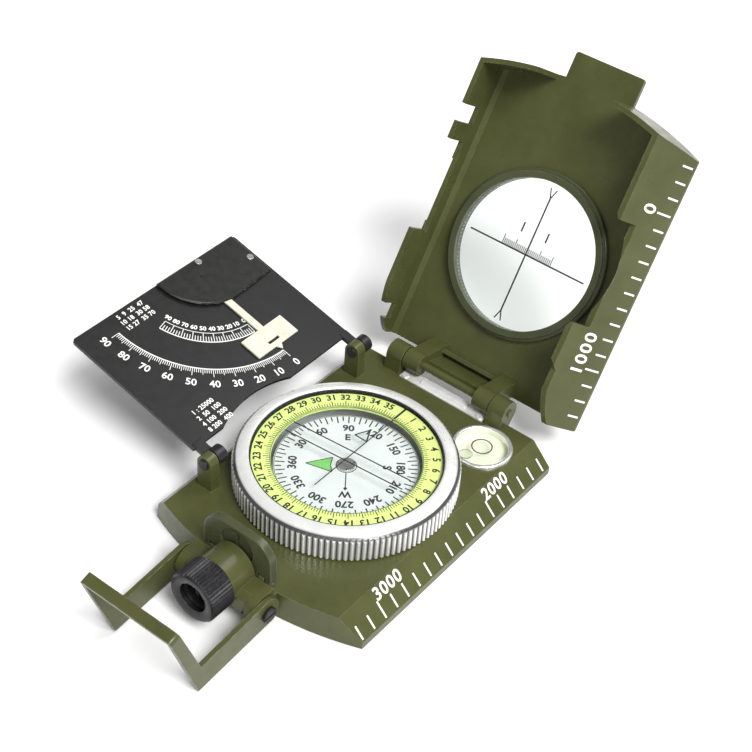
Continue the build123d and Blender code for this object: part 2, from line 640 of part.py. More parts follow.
# --- Write one file per piece -------------------------------------------------
PIECES = [
    base_body, bottom_plate, bottom_screws, capsule_cup, pivot_post, dial_ring,
    capsule_seal, capsule_glass, compass_card, card_hub, card_magnet, bezel_ring,
    bezel_glass, bezel_snap_ring, bezel_friction_ring, level_cup, level_plate, level_vial,
    lid_shell, window_frame, window_glass, lid_hinge_pin, detent_spring, spring_rivets,
    clinometer_plate, hub_cover, cover_rivets, pendulum_pin, pendulum, panel_pins,
    eyepiece_bracket, bracket_screws, eyepiece_ring, lens_cell, eye_lens, lens_retainer,
    leaf_sight, leaf_pin, thumb_loop, loop_pivots,
]

os.makedirs("parts", exist_ok=True)
for make in PIECES:
    export_step(make(), "parts/" + make.__name__ + ".step")
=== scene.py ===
"""Looks of a folding sighting compass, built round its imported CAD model.

Metres in the CAD model's frame: origin on the bezel axis in the plane the base
rests on, +Y the sighting direction, +X the map-scale side, +Z up.  Marks are
laid out in millimetres.  Those on the lid and on the clinometer panel are laid
out on the closed compass and turned open with the joint's own axis and range.
"""
import json
import math
import bmesh
import bpy
from mathutils import Euler, Matrix, Vector


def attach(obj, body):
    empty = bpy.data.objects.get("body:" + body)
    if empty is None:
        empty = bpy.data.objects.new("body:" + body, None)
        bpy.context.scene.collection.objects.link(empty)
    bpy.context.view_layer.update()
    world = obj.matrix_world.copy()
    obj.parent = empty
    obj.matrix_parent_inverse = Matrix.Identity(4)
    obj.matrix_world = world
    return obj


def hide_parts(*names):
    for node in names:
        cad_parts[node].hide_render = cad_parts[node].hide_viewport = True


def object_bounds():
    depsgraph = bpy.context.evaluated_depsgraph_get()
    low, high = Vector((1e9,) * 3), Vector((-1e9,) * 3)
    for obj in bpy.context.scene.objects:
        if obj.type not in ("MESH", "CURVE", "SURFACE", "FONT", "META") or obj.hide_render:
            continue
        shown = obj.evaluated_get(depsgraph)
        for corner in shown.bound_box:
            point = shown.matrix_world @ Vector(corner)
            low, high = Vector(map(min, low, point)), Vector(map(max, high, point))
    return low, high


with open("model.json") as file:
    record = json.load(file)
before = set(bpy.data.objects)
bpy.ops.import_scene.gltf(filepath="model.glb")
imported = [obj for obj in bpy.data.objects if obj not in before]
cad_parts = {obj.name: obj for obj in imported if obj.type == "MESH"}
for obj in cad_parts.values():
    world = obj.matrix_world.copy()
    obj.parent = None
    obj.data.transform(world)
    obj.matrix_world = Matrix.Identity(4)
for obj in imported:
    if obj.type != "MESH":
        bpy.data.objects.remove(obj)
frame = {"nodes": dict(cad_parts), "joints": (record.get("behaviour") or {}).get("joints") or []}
cad_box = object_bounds()
NODES = frame["nodes"]
JOINTS = {joint["name"]: joint for joint in frame["joints"]}
MM = 0.001
PRINT = 0.03            # thickness of printed marks, mm
SCALE_PRINT = 0.08      # thickness of the map scales' marks, mm
SCALE_SUNK = -0.02      # height at which they start, just inside the paint, mm
FONT_PER_DIGIT = 1.42   # font size for a digit of height 1


# --- Places -------------------------------------------------------------------
def opened(joint_name):
    """Matrix that takes a point on the closed compass to the rest pose."""
    joint = JOINTS[joint_name]
    pivot = Vector(joint["pos_m"])
    turn = Matrix.Rotation(math.radians(-joint["range_deg"][0]), 4, Vector(joint["axis"]))
    return Matrix.Translation(pivot) @ turn @ Matrix.Translation(-pivot)


LID = opened("lid_hinge")
PANEL = opened("panel_hinge")
FLAT = Matrix.Identity(4)


def span(node, place=FLAT):
    """Lowest and highest corner of a node, in millimetres, in the given frame."""
    back = place.inverted()
    points = [back @ v.co / MM for v in NODES[node].data.vertices]
    low = Vector([min(p[k] for p in points) for k in range(3)])
    high = Vector([max(p[k] for p in points) for k in range(3)])
    return low, high


def placed(name, data):
    """New object with the given data, linked to the scene."""
    obj = bpy.data.objects.new(name, data)
    bpy.context.scene.collection.objects.link(obj)
    return obj


# --- Node-tree helpers --------------------------------------------------------
class Shader:
    """One material with short calls for its nodes."""

    def __init__(self, name):
        self.material = bpy.data.materials.new(name)
        self.material.use_nodes = True
        self.tree = self.material.node_tree
        self.tree.nodes.clear()
        self.out = self.tree.nodes.new("ShaderNodeOutputMaterial")
        self.place = self.tree.nodes.new("ShaderNodeTexCoord").outputs["Object"]

    def node(self, kind, inputs=None, **settings):
        made = self.tree.nodes.new("ShaderNode" + kind)
        for key, value in settings.items():
            setattr(made, key, value)
        for key, value in (inputs or {}).items():
            if isinstance(value, bpy.types.NodeSocket):
                self.tree.links.new(value, made.inputs[key])
            else:
                made.inputs[key].default_value = value
        return made

    def math(self, operation, a, b=0.0, clamp=False):
        return self.node("Math", {0: a, 1: b}, operation=operation, use_clamp=clamp).outputs[0]

    def noise(self, scale, detail=2.0, rough=0.5, vector=None):
        made = self.node("TexNoise", {"Vector": vector or self.place, "Scale": scale,
                                      "Detail": detail, "Roughness": rough})
        return made.outputs["Fac"]

    def ramp(self, value, low, high, out_low=0.0, out_high=1.0):
        return self.node("MapRange", {"Value": value, "From Min": low, "From Max": high,
                                      "To Min": out_low, "To Max": out_high}).outputs["Result"]

    def mix(self, fac, a, b):
        return self.node("Mix", {0: fac, 6: a, 7: b}, data_type="RGBA").outputs[2]

    def bump(self, height, strength, distance):
        inputs = {"Height": height, "Strength": strength, "Distance": distance}
        return self.node("Bump", inputs).outputs["Normal"]

    def facing(self):
        """0 where the surface faces the viewer, 1 where it turns away."""
        return self.node("LayerWeight", {"Blend": 0.5}).outputs["Facing"]

    def edges(self, radius):
        """Mask that is 1 on sharp edges and 0 on flat faces."""
        rounded = self.node("Bevel", {"Radius": radius}, samples=4).outputs["Normal"]
        flat = self.node("NewGeometry").outputs["Normal"]
        dot = self.node("VectorMath", {0: rounded, 1: flat}, operation="DOT_PRODUCT")
        return self.ramp(self.math("SUBTRACT", 1.0, dot.outputs["Value"]), 0.015, 0.12)

    def surface(self, shader):
        self.tree.links.new(shader.outputs[0], self.out.inputs["Surface"])

    def principled(self, **inputs):
        named = {key.replace("_", " "): value for key, value in inputs.items()}
        self.surface(self.node("BsdfPrincipled", named))


def rgb(r, g, b):
    return (r, g, b, 1.0)


def dimmed(colour, share):
    """A colour at a share of its brightness."""
    return rgb(*[value * share for value in colour])


# --- Materials ----------------------------------------------------------------
def paint(name, dark, light, rough=0.3, wear=0.5):
    """Stoved paint on a casting: mottled tone, fine orange peel, rubbed edges."""
    s = Shader(name)
    tone = s.mix(s.ramp(s.noise(90.0, 4.0, 0.6), 0.3, 0.7), dark, light)
    patch = s.ramp(s.noise(700.0, 5.0, 0.7), 0.42, 0.66)
    mask = s.math("MULTIPLY", s.edges(0.00035), patch)
    rubbed = s.mix(0.5, light, rgb(0.42, 0.42, 0.34))
    colour = s.mix(s.math("MULTIPLY", mask, wear), tone, rubbed)
    roughness = s.ramp(s.noise(320.0, 3.0), 0.3, 0.7, rough - 0.05, rough + 0.09)
    normal = s.bump(s.noise(2600.0, 3.0, 0.55), 0.05, 0.0002)
    s.principled(Base_Color=colour, Roughness=roughness, Normal=normal,
                 Coat_Weight=0.1, Coat_Roughness=0.1, Specular_IOR_Level=0.3)
    return s.material


def turned_metal(name, colour, rough, centre=(0.0, 0.0), knurl=None, metal=1.0):
    """Bright metal with the fine rings a lathe leaves round its axis.

    knurl is (groove radius, crest radius, height of its top) in millimetres, and
    paints shade into the grooves below that height: near black, for the shadow in them.
    """
    s = Shader(name)
    moved = s.node("VectorMath", {0: s.place, 1: (centre[0] * MM, centre[1] * MM, 0.0)},
                   operation="SUBTRACT").outputs[0]
    level = s.node("VectorMath", {0: moved, 1: (1.0, 1.0, 0.0)}, operation="MULTIPLY").outputs[0]
    radius = s.node("VectorMath", {0: level}, operation="LENGTH").outputs["Value"]
    ring = s.node("TexNoise", {"W": s.math("MULTIPLY", radius, 4200.0), "Scale": 1.0, "Detail": 2.0},
                  noise_dimensions="1D").outputs["Fac"]
    smudge = s.noise(260.0, 4.0, 0.65)
    roughness = s.math("ADD", s.ramp(smudge, 0.35, 0.7, rough - 0.04, rough + 0.08),
                       s.ramp(ring, 0.3, 0.7, -0.03, 0.03))
    tone = s.mix(s.ramp(smudge, 0.3, 0.75), dimmed(colour, 0.94), rgb(*colour))
    if knurl:
        # painted shade: the knurl's grooves turn near black below its top
        groove, crest, top = [value * MM for value in knurl]
        height = s.node("SeparateXYZ", {0: s.place}).outputs["Z"]
        low = s.ramp(height, top + 0.0003, top)
        deep = s.ramp(radius, crest, groove)
        shadow = s.math("MULTIPLY", s.math("MULTIPLY", low, deep), 0.93)
        tone = s.mix(shadow, tone, rgb(0.02, 0.02, 0.018))
    s.principled(Base_Color=tone, Roughness=roughness, Metallic=metal,
                 Normal=s.bump(ring, 0.12, 0.00004))
    return s.material


def bare_metal(name, colour, rough, stretch=(1.0, 1.0, 1.0), metal=1.0):
    """Plain steel with faint drawn scratches along one direction."""
    s = Shader(name)
    drawn = s.node("VectorMath", {0: s.place, 1: stretch}, operation="MULTIPLY").outputs[0]
    lines = s.noise(1800.0, 3.0, 0.6, drawn)
    spots = s.noise(400.0, 3.0)
    tone = s.mix(s.ramp(spots, 0.35, 0.7), dimmed(colour, 0.88), rgb(*colour))
    roughness = s.ramp(lines, 0.3, 0.7, rough - 0.05, rough + 0.1)
    s.principled(Base_Color=tone, Metallic=metal, Roughness=roughness,
                 Normal=s.bump(lines, 0.1, 0.00005))
    return s.material


def blacked(name, colour, rough, metal, wear=0.35):
    """Blackened or anodised metal, a little bright at its worn corners."""
    s = Shader(name)
    cloud = s.noise(500.0, 3.0, 0.6)
    tone = s.mix(s.ramp(cloud, 0.3, 0.7), dimmed(colour, 0.8), rgb(*colour))
    mask = s.math("MULTIPLY", s.edges(0.0002), s.ramp(s.noise(1500.0, 3.0), 0.5, 0.7))
    tone = s.mix(s.math("MULTIPLY", mask, wear), tone, rgb(0.25, 0.25, 0.25))
    roughness = s.ramp(cloud, 0.3, 0.7, rough - 0.05, rough + 0.07)
    s.principled(Base_Color=tone, Metallic=metal, Roughness=roughness,
                 Normal=s.bump(s.noise(3200.0, 2.0), 0.05, 0.0001))
    return s.material


def coated(name, dark, light, rough, scale, bump=0.04):
    """Printed card, enamel, gasket or moulded plastic with a slightly uneven tone."""
    s = Shader(name)
    cloud = s.noise(scale, 4.0, 0.6)
    s.principled(Base_Color=s.mix(s.ramp(cloud, 0.3, 0.7), dark, light),
                 Roughness=s.ramp(cloud, 0.3, 0.7, rough - 0.06, rough + 0.06),
                 Normal=s.bump(s.noise(scale * 6.0, 2.0), bump, 0.0001))
    return s.material


def clear(name, tint, gloss_low, gloss_high):
    """Thin window, a little smeared: passes light straight through and mirrors at shallow angles."""
    dirt = 0.02
    s = Shader(name)
    grazing = s.math("POWER", s.facing(), 4.0)
    share = s.ramp(grazing, 0.0, 1.0, gloss_low, gloss_high)
    smear = s.ramp(s.noise(160.0, 4.0, 0.6), 0.45, 0.8, 0.0, dirt)
    share = s.math("ADD", share, smear, clamp=True)
    window = s.node("BsdfTransparent", {"Color": tint})
    mirror = s.node("BsdfGlossy", {"Color": rgb(1.0, 1.0, 1.0),
                                   "Roughness": s.ramp(smear, 0.0, dirt, 0.02, 0.12)})
    s.surface(s.node("MixShader", {0: share, 1: window.outputs[0], 2: mirror.outputs[0]}))
    return s.material


def rimmed(name, tint, rim):
    """Air bubble in liquid: clear in the middle, with painted shade where its edge turns away, standing
    in for the light that its curved edge bends aside.
    """
    s = Shader(name)
    share = s.ramp(s.facing(), 0.45, 0.8, 0.03, 0.95)
    window = s.node("BsdfTransparent", {"Color": tint})
    # painted shade: a near-black surface at the bubble's rim stands in for the light bent away there
    tone = s.mix(s.noise(900.0), rim, rgb(0.02, 0.02, 0.02))
    painted_rim_shade = s.node("BsdfPrincipled", {"Base Color": tone, "Roughness": 0.2})
    s.surface(s.node("MixShader", {0: share, 1: window.outputs[0], 2: painted_rim_shade.outputs[0]}))
    return s.material


OLIVE_DARK = rgb(0.055, 0.061, 0.018)
OLIVE_LIGHT = rgb(0.076, 0.082, 0.026)
KNURL_R = span("bezel_ring")[1].x
KNURL_TOP = 14.2
LEVEL_LOW, LEVEL_HIGH = span("level_cup")
LEVEL_CENTRE = ((LEVEL_LOW.x + LEVEL_HIGH.x) / 2, (LEVEL_LOW.y + LEVEL_HIGH.y) / 2)

MATERIALS = {
    "olive": paint("olive_paint", OLIVE_DARK, OLIVE_LIGHT),
    "olive_worn": paint("olive_paint_rubbed", OLIVE_DARK, OLIVE_LIGHT, rough=0.34, wear=1.0),
    "olive_cover": paint("olive_paint_satin", OLIVE_DARK, OLIVE_LIGHT, rough=0.45, wear=0.4),
    "leaf": paint("leaf_paint", rgb(0.045, 0.052, 0.024), rgb(0.062, 0.07, 0.032), wear=0.6),
    "bezel": turned_metal("bezel_aluminium", (0.92, 0.92, 0.9), 0.28,
                          knurl=(KNURL_R - 0.4, KNURL_R - 0.08, KNURL_TOP), metal=0.45),
    "level_ring": turned_metal("level_aluminium", (0.92, 0.92, 0.9), 0.22, LEVEL_CENTRE, metal=0.8),
    "steel": bare_metal("drawn_steel", (0.78, 0.78, 0.77), 0.26, (0.12, 1.0, 1.0)),
    "spring": bare_metal("spring_steel", (0.94, 0.94, 0.92), 0.3, (0.1, 1.0, 1.0), metal=0.45),
    "brass": bare_metal("hub_plated_brass", (0.86, 0.83, 0.74), 0.25),
    "black_steel": blacked("blacked_steel", (0.035, 0.035, 0.036), 0.38, 0.7),
    "knurl": blacked("black_anodised", (0.028, 0.028, 0.03), 0.33, 0.5, wear=0.5),
    "panel": blacked("panel_black", (0.009, 0.0093, 0.009), 0.42, 0.0, wear=0.6),
    "cover": blacked("cover_black", (0.013, 0.0137, 0.0115), 0.36, 0.0, wear=0.8),
    "white_plate": coated("pendulum_enamel", rgb(0.56, 0.53, 0.41), rgb(0.72, 0.69, 0.57), 0.4, 300.0),
    "card": coated("card_print", rgb(0.84, 0.84, 0.82), rgb(0.9, 0.9, 0.88), 0.5, 220.0),
    "capsule": coated("capsule_white", rgb(0.6, 0.61, 0.6), rgb(0.7, 0.71, 0.7), 0.35, 300.0),
    "luminous": coated("luminous_ring", rgb(0.66, 0.78, 0.2), rgb(0.76, 0.87, 0.3), 0.55, 1400.0),
    "level_floor": coated("level_floor", rgb(0.82, 0.82, 0.74), rgb(0.88, 0.88, 0.82), 0.4, 400.0),
    "rubber": coated("gasket_rubber", rgb(0.018, 0.018, 0.018), rgb(0.03, 0.03, 0.03), 0.7, 900.0, 0.2),
    "black_print": coated("black_print", rgb(0.008, 0.008, 0.008), rgb(0.02, 0.02, 0.02), 0.5, 2000.0),
    "white_print": coated("white_print", rgb(0.72, 0.73, 0.7), rgb(0.84, 0.85, 0.82), 0.5, 2000.0),
    "green_print": coated("green_print", rgb(0.2, 0.62, 0.12), rgb(0.3, 0.72, 0.2), 0.5, 1500.0),
    "glass": clear("window_glass", rgb(0.97, 0.99, 0.98), 0.03, 0.75),
    "dial_glass": clear("dial_glass", rgb(0.98, 0.99, 0.99), 0.02, 0.6),
    "vial_glass": clear("vial_glass", rgb(0.975, 0.99, 0.945), 0.03, 0.5),
    # the bubble's rim colour is painted shade at its edge
    "bubble": rimmed("bubble_rim", rgb(0.98, 0.99, 0.97), rgb(0.05, 0.055, 0.04)),
}

NODE_MATERIAL = {
    "olive": ["base_body", "lid_shell", "eyepiece_bracket", "lid_hinge_pin"],
    "olive_worn": ["thumb_loop"],
    "olive_cover": ["bottom_plate"],
    "leaf": ["leaf_sight", "window_frame"],
    "bezel": ["bezel_ring"],
    "level_ring": ["level_cup"],
    "steel": ["bottom_screws", "pivot_post", "bezel_snap_ring", "bezel_friction_ring",
              "cover_rivets", "leaf_pin"],
    "spring": ["detent_spring", "spring_rivets"],
    "brass": ["card_hub"],
    "black_steel": ["card_magnet", "pendulum_pin", "panel_pins", "bracket_screws", "loop_pivots"],
    "knurl": ["eyepiece_ring", "lens_cell", "lens_retainer"],
    "panel": ["clinometer_plate"],
    "cover": ["hub_cover"],
    "white_plate": ["pendulum"],
    "card": ["compass_card"],
    "capsule": ["capsule_cup"],
    "luminous": ["dial_ring"],
    "level_floor": ["level_plate"],
    "rubber": ["capsule_seal"],
    "glass": ["window_glass", "eye_lens"],
    "dial_glass": ["capsule_glass", "bezel_glass"],
    "vial_glass": ["level_vial"],
}

# Width in millimetres of the rounding that each casting, plate or ring has on its edges
ROUNDING = {
    "base_body": 0.3, "lid_shell": 0.22, "eyepiece_bracket": 0.22, "thumb_loop": 0.25,
    "window_frame": 0.1, "bezel_ring": 0.05, "level_cup": 0.08, "leaf_sight": 0.12,
    "clinometer_plate": 0.12, "hub_cover": 0.12, "pendulum": 0.04, "detent_spring": 0.06,
    "loop_pivots": 0.12, "panel_pins": 0.12, "eyepiece_ring": 0.05, "bottom_plate": 0.12,
    "card_hub": 0.08, "lid_hinge_pin": 0.12, "cover_rivets": 0.06, "spring_rivets": 0.06,
    "bracket_screws": 0.08, "bottom_screws": 0.08, "lens_cell": 0.05, "dial_ring": 0.04,
    "leaf_pin": 0.06, "bezel_snap_ring": 0.04,
}


def finish_node(node, material, width):
    """Give a CAD node its material and rounded, evenly shaded edges."""
    obj = NODES[node]
    obj.data.materials.clear()
    obj.data.materials.append(material)
    if width:
        weld = obj.modifiers.new("weld", "WELD")
        weld.merge_threshold = 1e-6
        flat = obj.modifiers.new("planar", "DECIMATE")
        flat.decimate_type = "DISSOLVE"
        flat.angle_limit = math.radians(0.4)
        bevel = obj.modifiers.new("round", "BEVEL")
        bevel.width = width * MM
        bevel.segments = 2
        bevel.limit_method = "ANGLE"
        bevel.angle_limit = math.radians(32)
        bevel.miter_outer = "MITER_ARC"
        bevel.use_clamp_overlap = True
        even = obj.modifiers.new("even", "WEIGHTED_NORMAL")
        even.weight = 60
        even.keep_sharp = False


for key, nodes in NODE_MATERIAL.items():
    for node in nodes:
        finish_node(node, MATERIALS[key], ROUNDING.get(node, 0.0))


def solid(name, shape, material, place=FLAT):
    """Object in metres from a bmesh in millimetres, with its normals outward."""
    bmesh.ops.recalc_face_normals(shape, faces=shape.faces)
    data = bpy.data.meshes.new(name)
    shape.to_mesh(data)
    shape.free()
    data.transform(place @ Matrix.Scale(MM, 4))
    data.materials.append(MATERIALS[material])
    return placed(name, data)


class Marks:
    """Thin solid marks on one plane, drawn in millimetres and kept in one mesh."""

    def __init__(self, name, material, body, place=FLAT, thick=PRINT, down=False):
        self.name = name
        self.material = material
        self.body = body
        self.place = place
        self.thick = thick
        self.down = down
        self.mesh = bmesh.new()

    def levels(self, z):
        """Lower and upper height of a mark printed at height z, on top or hanging below."""
        return (z - self.thick, z) if self.down else (z, z + self.thick)

    def prism(self, outline, z):
        """Closed slab over an outline of (x, y) points at height z."""
        z0, z1 = self.levels(z)
        low = [self.mesh.verts.new((x, y, z0)) for x, y in outline]
        high = [self.mesh.verts.new((x, y, z1)) for x, y in outline]
        count = len(outline)
        self.mesh.faces.new(list(reversed(low)))
        self.mesh.faces.new(high)
        for i in range(count):
            j = (i + 1) % count
            self.mesh.faces.new([low[i], low[j], high[j], high[i]])

    def stroke(self, start, end, width, z):
        """Straight line of even width."""
        a, b = Vector(start), Vector(end)
        side = (b - a).orthogonal().normalized() * width / 2
        self.prism([a - side, b - side, b + side, a + side], z)

    def outline(self, corners, width, z):
        """Straight lines round a closed row of corners."""
        for i, corner in enumerate(corners):
            self.stroke(corner, corners[(i + 1) % len(corners)], width, z)

    def arc(self, centre, radius, width, first, last, z, steps):
        """Part of a ring between two angles in degrees, or a whole ring."""
        closed = abs(last - first) >= 360
        count = steps if closed else steps + 1
        rows = []
        z0, z1 = self.levels(z)
        for i in range(count):
            angle = math.radians(first + (last - first) * i / steps)
            c, s = math.cos(angle), math.sin(angle)
            row = []
            for r, h in ((radius - width / 2, z0), (radius + width / 2, z0),
                         (radius + width / 2, z1), (radius - width / 2, z1)):
                row.append(self.mesh.verts.new((centre[0] + r * c, centre[1] + r * s, h)))
            rows.append(row)
        for i in range(steps):
            a, b = rows[i], rows[(i + 1) % count]
            for k in range(4):
                n = (k + 1) % 4
                self.mesh.faces.new([a[k], b[k], b[n], a[n]])
        if not closed:
            self.mesh.faces.new(rows[0])
            self.mesh.faces.new(list(reversed(rows[-1])))

    def text(self, words, at, height, angle, z, bold, mirror=False, spacing=1.0):
        """Digits centred at a point, their tops pointing along angle + 90 degrees."""
        curve = bpy.data.curves.new("digits", "FONT")
        curve.body = words
        curve.size = height * FONT_PER_DIGIT
        curve.align_x = "CENTER"
        curve.align_y = "CENTER"
        curve.extrude = self.thick / 2
        curve.offset = bold
        curve.resolution_u = 3
        curve.space_character = spacing
        holder = placed("digits", curve)
        bpy.context.view_layer.update()
        mesh = bpy.data.meshes.new_from_object(holder)
        middle = z - self.thick / 2 if self.down else z + self.thick / 2
        turn = (Matrix.Translation((at[0], at[1], middle))
                @ Matrix.Rotation(math.radians(angle), 4, "Z"))
        if mirror:
            turn = turn @ Matrix.Rotation(math.pi, 4, "Y")
        xs = [v.co.x for v in mesh.vertices]
        ys = [v.co.y for v in mesh.vertices]
        centre = Vector(((min(xs) + max(xs)) / 2, (min(ys) + max(ys)) / 2, 0.0))
        mesh.transform(turn @ Matrix.Translation(-centre))
        self.mesh.from_mesh(mesh)
        bpy.data.objects.remove(holder)
        bpy.data.curves.remove(curve)
        bpy.data.meshes.remove(mesh)

    def done(self):
        """Weld the strokes, turn them into place and hang them on their body."""
        bmesh.ops.remove_doubles(self.mesh, verts=self.mesh.verts, dist=1e-4)
        obj = solid(self.name, self.mesh, self.material, self.place)
        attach(obj, self.body)


def polar(radius, degrees, centre=(0.0, 0.0)):
    """Point at a radius and an anticlockwise angle from +X."""
    angle = math.radians(degrees)
    return (centre[0] + radius * math.cos(angle), centre[1] + radius * math.sin(angle))


def radial_tick(marks, r0, r1, degrees, width, z, centre=(0.0, 0.0)):
    """Tick between two radii."""
    marks.stroke(polar(r0, degrees, centre), polar(r1, degrees, centre), width, z)


# Degree ring: a tick every 2 degrees, and the tens of degrees with the sight line in place of 36
RING_LINE_R = 17.45
RING_TICKS_R = 17.6
RING_NUMBERS_R = 20.4
ring_top = span("dial_ring")[1].z
ring = Marks("dial_numbers", "black_print", "base")
for i in range(180):
    long, width = (1.45, 0.2) if i % 5 == 0 else (0.85, 0.16)
    radial_tick(ring, RING_TICKS_R, RING_TICKS_R + long, 90 - i * 2, width, ring_top)
for i in range(1, 36):
    angle = 90 - i * 10
    ring.text(str(i), polar(RING_NUMBERS_R, angle), 1.75, angle - 90, ring_top, 0.07)
ring.arc((0, 0), RING_LINE_R, 0.14, 0, 360, ring_top, 120)
ring.done()

# Compass card: ticks round its rim, a number every 30 degrees, letters and the north arrow
CARD_NORTH = -143.0        # direction of the card's north, anticlockwise from +X
CARD_TICKS_GAP = 0.4       # from the ticks to the card's rim
CARD_NUMBERS_R = 12.4
CARD_LETTERS_R = 9.3
card_top = span("compass_card")[1].z
card_r = span("compass_card")[1].x
card = Marks("card_marks", "black_print", "card")
for i in range(72):
    long = 2.2 if i % 2 == 0 else 1.5
    radial_tick(card, card_r - CARD_TICKS_GAP - long, card_r - CARD_TICKS_GAP,
                CARD_NORTH - i * 5, 0.3, card_top)
for i in range(12):
    angle = CARD_NORTH - i * 30
    card.text(str(i * 30 or 360), polar(CARD_NUMBERS_R, angle), 1.95, angle - 90, card_top, 0.08)
for i, letter in ((1, "E"), (2, "S"), (3, "W")):
    angle = CARD_NORTH - i * 90
    card.text(letter, polar(CARD_LETTERS_R, angle), 1.9, angle - 90, card_top, 0.08)
card.arc((0, 0), card_r - 0.2, 0.14, 0, 360, card_top, 96)
card.arc((0, 0), 2.35, 0.2, 0, 360, card_top, 48)
WEST = CARD_NORTH - 270
card.stroke(polar(2.4, WEST), polar(7.4, WEST), 0.24, card_top)
card.prism([polar(8.1, WEST), polar(7.4, WEST + 3.5), polar(6.8, WEST), polar(7.4, WEST - 3.5)],
           card_top)
ARROW = [polar(9.3, CARD_NORTH), polar(4.0, CARD_NORTH + 36), polar(3.6, CARD_NORTH),
         polar(4.0, CARD_NORTH - 36)]
card.outline(ARROW, 0.22, card_top + 0.01)
card.done()
arrow = Marks("card_north_arrow", "green_print", "card")
arrow.prism(ARROW, card_top)
arrow.done()

# Bezel glass: two parallel course lines, and a black ring round the glass's edge, painted shade of the
# gap under the bezel's inner lip
COURSE = 5.0               # direction of the lines, anticlockwise from +X
COURSE_REACH = 16.0
COURSE_HALF_GAP = 1.7
SHADE_RING_R = 22.02
glass_top = span("bezel_glass")[1].z
course = Marks("course_lines", "black_print", "bezel")
for offset in (-COURSE_HALF_GAP, COURSE_HALF_GAP):
    shift = Vector(polar(offset, COURSE + 90))
    course.stroke(Vector(polar(COURSE_REACH, COURSE + 180)) + shift,
                  Vector(polar(COURSE_REACH, COURSE)) + shift, 0.34, glass_top)
# painted shade: black ring where the bezel's inner lip meets the glass
course.arc((0, 0), SHADE_RING_R, 0.32, 0, 360, glass_top, 144)
course.done()

# Capsule glass: lubber line along the sight with an open arrowhead beside it
lubber_z = span("capsule_glass")[1].z
lubber = Marks("lubber_line", "black_print", "base")
lubber.stroke((0.0, -11.4), (0.0, 17.2), 0.26, lubber_z)
HEAD = [(-3.5, 7.2), (-0.1, 7.2), (-1.8, 10.8)]
lubber.outline(HEAD, 0.34, lubber_z)
lubber.stroke((0.0, 17.4), (0.0, 21.7), 0.55, ring_top + PRINT)
lubber.done()


# Bubble level: liquid under a slightly domed glass, its bubble, and the target circle
def lathe(name, profile, centre, material, body, steps=64):
    """Solid of revolution from (radius, height) points that start and end on the axis."""
    mesh = bmesh.new()
    rings = []
    for r, h in profile:
        if r == 0:
            rings.append([mesh.verts.new((centre[0], centre[1], h))])
        else:
            rings.append([mesh.verts.new((*polar(r, i * 360 / steps, centre), h))
                          for i in range(steps)])
    for a, b in zip(rings, rings[1:]):
        for i in range(steps):
            j = (i + 1) % steps
            if len(a) == 1:
                mesh.faces.new([a[0], b[i], b[j]])
            elif len(b) == 1:
                mesh.faces.new([a[j], a[i], b[0]])
            else:
                mesh.faces.new([a[i], b[i], b[j], a[j]])
    for face in mesh.faces:
        face.smooth = True
    obj = solid(name, mesh, material)
    edge = obj.modifiers.new("edge", "BEVEL")
    edge.width = 0.05 * MM
    edge.segments = 2
    edge.limit_method = "ANGLE"
    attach(obj, body)
    return obj


vial_low, vial_high = span("level_vial")
vial_r = (vial_high.x - vial_low.x) / 2
vial_foot = vial_low.z + 0.04      # clear of the level's floor, which the CAD vial touches
vial = lathe("level_vial_clear", [(0, vial_foot), (vial_r - 0.05, vial_foot),
                                  (vial_r - 0.05, vial_high.z - 0.3),
                                  (vial_r * 0.6, vial_high.z - 0.1), (0, vial_high.z)],
             LEVEL_CENTRE, "vial_glass", "base")
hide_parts("level_vial")
BUBBLE = (LEVEL_CENTRE[0] - 1.9, LEVEL_CENTRE[1] - 3.7)
bubble_z = vial_high.z - 0.95
bubble = lathe("level_bubble", [(0, bubble_z - 0.5), (0.9, bubble_z - 0.42),
                                (1.45, bubble_z - 0.2), (1.65, bubble_z), (1.45, bubble_z + 0.2),
                                (0.9, bubble_z + 0.36), (0, bubble_z + 0.42)],
               BUBBLE, "bubble", "base", 48)
target = Marks("level_target", "black_print", "base")
target.arc(LEVEL_CENTRE, 2.4, 0.3, 0, 360, vial_high.z, 48)
target.done()

# Map scale on the base's bevel: a tick every 4 mm, 100 m at 1:25 000
SCALE_STEP = 4.0
SCALE_WIDTH = 0.45         # of a tick
SCALE_FIRST_Y = 37.1
SCALE_NUMBERS = {5: "2000", 15: "3000"}
TOP_EDGE_X, TOP_Z = 25.3, 7.6
FOOT_EDGE_X, FOOT_Z = span("base_body")[1].x, 2.0
bevel_slope = math.atan2(TOP_Z - FOOT_Z, FOOT_EDGE_X - TOP_EDGE_X)
BEVEL = (Matrix.Translation(Vector((FOOT_EDGE_X, 0, FOOT_Z)) * MM)
         @ Matrix.Rotation(bevel_slope, 4, "Y"))
scale = Marks("base_scale", "white_print", "base", BEVEL, SCALE_PRINT)
for i in range(18):
    y = SCALE_FIRST_Y - i * SCALE_STEP
    long = 4.2 if i in SCALE_NUMBERS else 3.4
    scale.stroke((-0.5, y), (-0.5 - long, y), SCALE_WIDTH, SCALE_SUNK)
for i, number in SCALE_NUMBERS.items():
    y = SCALE_FIRST_Y - i * SCALE_STEP + 4.7
    scale.text(number, (-6.0, y), 2.9, 90, SCALE_SUNK, 0.08, spacing=1.12)
scale.done()

